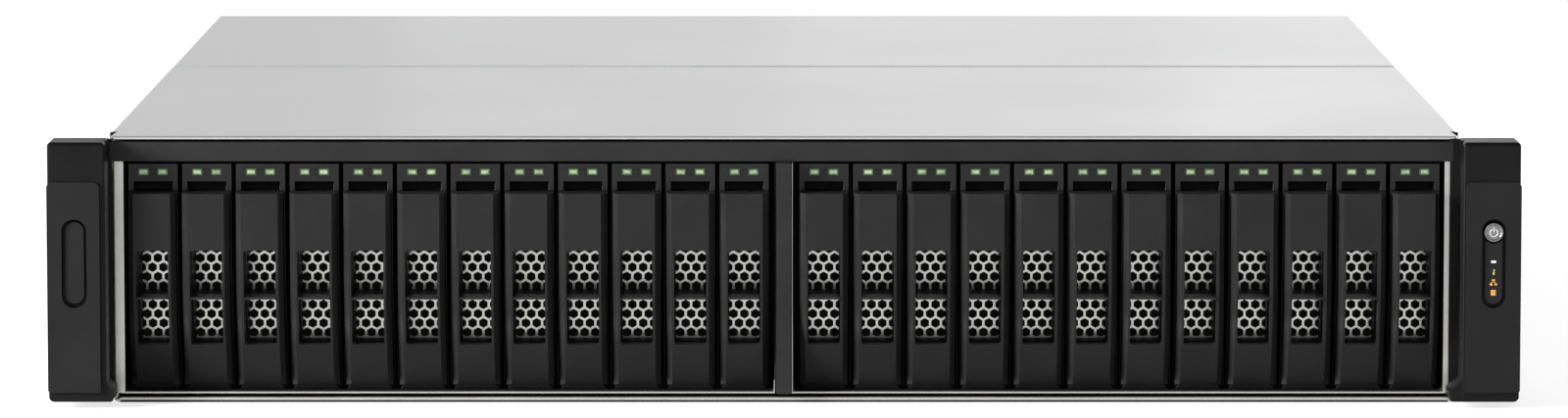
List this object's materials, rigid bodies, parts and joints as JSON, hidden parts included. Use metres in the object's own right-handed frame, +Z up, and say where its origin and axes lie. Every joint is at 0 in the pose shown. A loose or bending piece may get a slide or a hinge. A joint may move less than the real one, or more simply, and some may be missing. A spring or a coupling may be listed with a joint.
{
  "type": "rackmount nas server",
  "caption": "Low, wide rack storage server with a row of upright drive trays on swing levers, steel top covers, mounting ears and rear power supplies that pull out.",
  "frame": {"origin": "on the underside of the chassis, on its middle plane, in line with the rear face of the ear flanges", "axes": "+X to the right seen from the front, +Y from the front to the back, +Z up"},
  "size_m": [0.4826, 0.5424, 0.0887],
  "materials": {
    "galvanised_steel": "satin zinc coat",
    "cover_steel": "satin zinc coat",
    "cage_steel": "satin zinc coat",
    "ear_plastic": "fine matte",
    "tray_plastic": "fine matte",
    "lever_plastic": "fine matte",
    "circuit_board": "solder mask",
    "fan_plastic": "moulded",
    "button_metal": "polished",
    "supply_case": "zinc coat"
  },
  "bodies": {
    "chassis": {"chassis_base": "galvanised_steel", "front_top_cover": "cover_steel", "rear_top_cover": "cover_steel", "drive_cage": "cage_steel", "left_ear": "ear_plastic", "right_ear": "ear_plastic", "backplane": "circuit_board", "fan_wall": "fan_plastic", "mainboard": "circuit_board"},
    "power_button": {"power_button": "button_metal"},
    "power_supply_1": {"power_supply_1": "supply_case"},
    "power_supply_2": {"power_supply_2": "supply_case"},
    "drive_tray_01": {"drive_tray_01": "tray_plastic"},
    "tray_lever_01": {"tray_lever_01": "lever_plastic"},
    "drive_tray_02": {"drive_tray_02": "tray_plastic"},
    "tray_lever_02": {"tray_lever_02": "lever_plastic"},
    "drive_tray_03": {"drive_tray_03": "tray_plastic"},
    "tray_lever_03": {"tray_lever_03": "lever_plastic"},
    "drive_tray_04": {"drive_tray_04": "tray_plastic"},
    "tray_lever_04": {"tray_lever_04": "lever_plastic"},
    "drive_tray_05": {"drive_tray_05": "tray_plastic"},
    "tray_lever_05": {"tray_lever_05": "lever_plastic"},
    "drive_tray_06": {"drive_tray_06": "tray_plastic"},
    "tray_lever_06": {"tray_lever_06": "lever_plastic"},
    "drive_tray_07": {"drive_tray_07": "tray_plastic"},
    "tray_lever_07": {"tray_lever_07": "lever_plastic"},
    "drive_tray_08": {"drive_tray_08": "tray_plastic"},
    "tray_lever_08": {"tray_lever_08": "lever_plastic"},
    "drive_tray_09": {"drive_tray_09": "tray_plastic"},
    "tray_lever_09": {"tray_lever_09": "lever_plastic"},
    "drive_tray_10": {"drive_tray_10": "tray_plastic"},
    "tray_lever_10": {"tray_lever_10": "lever_plastic"},
    "drive_tray_11": {"drive_tray_11": "tray_plastic"},
    "tray_lever_11": {"tray_lever_11": "lever_plastic"},
    "drive_tray_12": {"drive_tray_12": "tray_plastic"},
    "tray_lever_12": {"tray_lever_12": "lever_plastic"},
    "drive_tray_13": {"drive_tray_13": "tray_plastic"},
    "tray_lever_13": {"tray_lever_13": "lever_plastic"},
    "drive_tray_14": {"drive_tray_14": "tray_plastic"},
    "tray_lever_14": {"tray_lever_14": "lever_plastic"},
    "drive_tray_15": {"drive_tray_15": "tray_plastic"},
    "tray_lever_15": {"tray_lever_15": "lever_plastic"},
    "drive_tray_16": {"drive_tray_16": "tray_plastic"},
    "tray_lever_16": {"tray_lever_16": "lever_plastic"},
    "drive_tray_17": {"drive_tray_17": "tray_plastic"},
    "tray_lever_17": {"tray_lever_17": "lever_plastic"},
    "drive_tray_18": {"drive_tray_18": "tray_plastic"},
    "tray_lever_18": {"tray_lever_18": "lever_plastic"},
    "drive_tray_19": {"drive_tray_19": "tray_plastic"},
    "tray_lever_19": {"tray_lever_19": "lever_plastic"},
    "drive_tray_20": {"drive_tray_20": "tray_plastic"},
    "tray_lever_20": {"tray_lever_20": "lever_plastic"},
    "drive_tray_21": {"drive_tray_21": "tray_plastic"},
    "tray_lever_21": {"tray_lever_21": "lever_plastic"},
    "drive_tray_22": {"drive_tray_22": "tray_plastic"},
    "tray_lever_22": {"tray_lever_22": "lever_plastic"},
    "drive_tray_23": {"drive_tray_23": "tray_plastic"},
    "tray_lever_23": {"tray_lever_23": "lever_plastic"},
    "drive_tray_24": {"drive_tray_24": "tray_plastic"},
    "tray_lever_24": {"tray_lever_24": "lever_plastic"}
  },
  "joints": [
    {"name": "button_press", "type": "slide", "parent": "chassis", "child": "power_button", "axis": [0, 1, 0], "range_m": [0, 0.001], "stiffness_N_per_m": 900, "springref_m": -0.001},
    {"name": "power_supply_1_pull", "type": "slide", "parent": "chassis", "child": "power_supply_1", "axis": [0, 1, 0], "range_m": [0, 0.18]},
    {"name": "power_supply_2_pull", "type": "slide", "parent": "chassis", "child": "power_supply_2", "axis": [0, 1, 0], "range_m": [0, 0.18]},
    {"name": "tray_01_pull", "type": "slide", "parent": "chassis", "child": "drive_tray_01", "axis": [0, -1, 0], "range_m": [0, 0.118]},
    {"name": "lever_01_swing", "type": "hinge", "parent": "drive_tray_01", "child": "tray_lever_01", "pos_m": [-0.20775, 0.00482, 0.0066], "axis": [1, 0, 0], "range_deg": [0, 50]},
    {"name": "tray_02_pull", "type": "slide", "parent": "chassis", "child": "drive_tray_02", "axis": [0, -1, 0], "range_m": [0, 0.118]},
    {"name": "lever_02_swing", "type": "hinge", "parent": "drive_tray_02", "child": "tray_lever_02", "pos_m": [-0.19006, 0.00482, 0.0066], "axis": [1, 0, 0], "range_deg": [0, 50]},
    {"name": "tray_03_pull", "type": "slide", "parent": "chassis", "child": "drive_tray_03", "axis": [0, -1, 0], "range_m": [0, 0.118]},
    {"name": "lever_03_swing", "type": "hinge", "parent": "drive_tray_03", "child": "tray_lever_03", "pos_m": [-0.17236, 0.00482, 0.0066], "axis": [1, 0, 0], "range_deg": [0, 50]},
    {"name": "tray_04_pull", "type": "slide", "parent": "chassis", "child": "drive_tray_04", "axis": [0, -1, 0], "range_m": [0, 0.118]},
    {"name": "lever_04_swing", "type": "hinge", "parent": "drive_tray_04", "child": "tray_lever_04", "pos_m": [-0.15468, 0.00482, 0.0066], "axis": [1, 0, 0], "range_deg": [0, 50]},
    {"name": "tray_05_pull", "type": "slide", "parent": "chassis", "child": "drive_tray_05", "axis": [0, -1, 0], "range_m": [0, 0.118]},
    {"name": "lever_05_swing", "type": "hinge", "parent": "drive_tray_05", "child": "tray_lever_05", "pos_m": [-0.13698, 0.00482, 0.0066], "axis": [1, 0, 0], "range_deg": [0, 50]},
    {"name": "tray_06_pull", "type": "slide", "parent": "chassis", "child": "drive_tray_06", "axis": [0, -1, 0], "range_m": [0, 0.118]},
    {"name": "lever_06_swing", "type": "hinge", "parent": "drive_tray_06", "child": "tray_lever_06", "pos_m": [-0.11929, 0.00482, 0.0066], "axis": [1, 0, 0], "range_deg": [0, 50]},
    {"name": "tray_07_pull", "type": "slide", "parent": "chassis", "child": "drive_tray_07", "axis": [0, -1, 0], "range_m": [0, 0.118]},
    {"name": "lever_07_swing", "type": "hinge", "parent": "drive_tray_07", "child": "tray_lever_07", "pos_m": [-0.10161, 0.00482, 0.0066], "axis": [1, 0, 0], "range_deg": [0, 50]},
    {"name": "tray_08_pull", "type": "slide", "parent": "chassis", "child": "drive_tray_08", "axis": [0, -1, 0], "range_m": [0, 0.118]},
    {"name": "lever_08_swing", "type": "hinge", "parent": "drive_tray_08", "child": "tray_lever_08", "pos_m": [-0.08392, 0.00482, 0.0066], "axis": [1, 0, 0], "range_deg": [0, 50]},
    {"name": "tray_09_pull", "type": "slide", "parent": "chassis", "child": "drive_tray_09", "axis": [0, -1, 0], "range_m": [0, 0.118]},
    {"name": "lever_09_swing", "type": "hinge", "parent": "drive_tray_09", "child": "tray_lever_09", "pos_m": [-0.06623, 0.00482, 0.0066], "axis": [1, 0, 0], "range_deg": [0, 50]},
    {"name": "tray_10_pull", "type": "slide", "parent": "chassis", "child": "drive_tray_10", "axis": [0, -1, 0], "range_m": [0, 0.118]},
    {"name": "lever_10_swing", "type": "hinge", "parent": "drive_tray_10", "child": "tray_lever_10", "pos_m": [-0.04854, 0.00482, 0.0066], "axis": [1, 0, 0], "range_deg": [0, 50]},
    {"name": "tray_11_pull", "type": "slide", "parent": "chassis", "child": "drive_tray_11", "axis": [0, -1, 0], "range_m": [0, 0.118]},
    {"name": "lever_11_swing", "type": "hinge", "parent": "drive_tray_11", "child": "tray_lever_11", "pos_m": [-0.03085, 0.00482, 0.0066], "axis": [1, 0, 0], "range_deg": [0, 50]},
    {"name": "tray_12_pull", "type": "slide", "parent": "chassis", "child": "drive_tray_12", "axis": [0, -1, 0], "range_m": [0, 0.118]},
    {"name": "lever_12_swing", "type": "hinge", "parent": "drive_tray_12", "child": "tray_lever_12", "pos_m": [-0.01316, 0.00482, 0.0066], "axis": [1, 0, 0], "range_deg": [0, 50]},
    {"name": "tray_13_pull", "type": "slide", "parent": "chassis", "child": "drive_tray_13", "axis": [0, -1, 0], "range_m": [0, 0.118]},
    {"name": "lever_13_swing", "type": "hinge", "parent": "drive_tray_13", "child": "tray_lever_13", "pos_m": [0.01316, 0.00482, 0.0066], "axis": [1, 0, 0], "range_deg": [0, 50]},
    {"name": "tray_14_pull", "type": "slide", "parent": "chassis", "child": "drive_tray_14", "axis": [0, -1, 0], "range_m": [0, 0.118]},
    {"name": "lever_14_swing", "type": "hinge", "parent": "drive_tray_14", "child": "tray_lever_14", "pos_m": [0.03085, 0.00482, 0.0066], "axis": [1, 0, 0], "range_deg": [0, 50]},
    {"name": "tray_15_pull", "type": "slide", "parent": "chassis", "child": "drive_tray_15", "axis": [0, -1, 0], "range_m": [0, 0.118]},
    {"name": "lever_15_swing", "type": "hinge", "parent": "drive_tray_15", "child": "tray_lever_15", "pos_m": [0.04854, 0.00482, 0.0066], "axis": [1, 0, 0], "range_deg": [0, 50]},
    {"name": "tray_16_pull", "type": "slide", "parent": "chassis", "child": "drive_tray_16", "axis": [0, -1, 0], "range_m": [0, 0.118]},
    {"name": "lever_16_swing", "type": "hinge", "parent": "drive_tray_16", "child": "tray_lever_16", "pos_m": [0.06623, 0.00482, 0.0066], "axis": [1, 0, 0], "range_deg": [0, 50]},
    {"name": "tray_17_pull", "type": "slide", "parent": "chassis", "child": "drive_tray_17", "axis": [0, -1, 0], "range_m": [0, 0.118]},
    {"name": "lever_17_swing", "type": "hinge", "parent": "drive_tray_17", "child": "tray_lever_17", "pos_m": [0.08392, 0.00482, 0.0066], "axis": [1, 0, 0], "range_deg": [0, 50]},
    {"name": "tray_18_pull", "type": "slide", "parent": "chassis", "child": "drive_tray_18", "axis": [0, -1, 0], "range_m": [0, 0.118]},
    {"name": "lever_18_swing", "type": "hinge", "parent": "drive_tray_18", "child": "tray_lever_18", "pos_m": [0.10161, 0.00482, 0.0066], "axis": [1, 0, 0], "range_deg": [0, 50]},
    {"name": "tray_19_pull", "type": "slide", "parent": "chassis", "child": "drive_tray_19", "axis": [0, -1, 0], "range_m": [0, 0.118]},
    {"name": "lever_19_swing", "type": "hinge", "parent": "drive_tray_19", "child": "tray_lever_19", "pos_m": [0.11929, 0.00482, 0.0066], "axis": [1, 0, 0], "range_deg": [0, 50]},
    {"name": "tray_20_pull", "type": "slide", "parent": "chassis", "child": "drive_tray_20", "axis": [0, -1, 0], "range_m": [0, 0.118]},
    {"name": "lever_20_swing", "type": "hinge", "parent": "drive_tray_20", "child": "tray_lever_20", "pos_m": [0.13698, 0.00482, 0.0066], "axis": [1, 0, 0], "range_deg": [0, 50]},
    {"name": "tray_21_pull", "type": "slide", "parent": "chassis", "child": "drive_tray_21", "axis": [0, -1, 0], "range_m": [0, 0.118]},
    {"name": "lever_21_swing", "type": "hinge", "parent": "drive_tray_21", "child": "tray_lever_21", "pos_m": [0.15468, 0.00482, 0.0066], "axis": [1, 0, 0], "range_deg": [0, 50]},
    {"name": "tray_22_pull", "type": "slide", "parent": "chassis", "child": "drive_tray_22", "axis": [0, -1, 0], "range_m": [0, 0.118]},
    {"name": "lever_22_swing", "type": "hinge", "parent": "drive_tray_22", "child": "tray_lever_22", "pos_m": [0.17236, 0.00482, 0.0066], "axis": [1, 0, 0], "range_deg": [0, 50]},
    {"name": "tray_23_pull", "type": "slide", "parent": "chassis", "child": "drive_tray_23", "axis": [0, -1, 0], "range_m": [0, 0.118]},
    {"name": "lever_23_swing", "type": "hinge", "parent": "drive_tray_23", "child": "tray_lever_23", "pos_m": [0.19006, 0.00482, 0.0066], "axis": [1, 0, 0], "range_deg": [0, 50]},
    {"name": "tray_24_pull", "type": "slide", "parent": "chassis", "child": "drive_tray_24", "axis": [0, -1, 0], "range_m": [0, 0.118]},
    {"name": "lever_24_swing", "type": "hinge", "parent": "drive_tray_24", "child": "tray_lever_24", "pos_m": [0.20775, 0.00482, 0.0066], "axis": [1, 0, 0], "range_deg": [0, 50]}
  ]
}
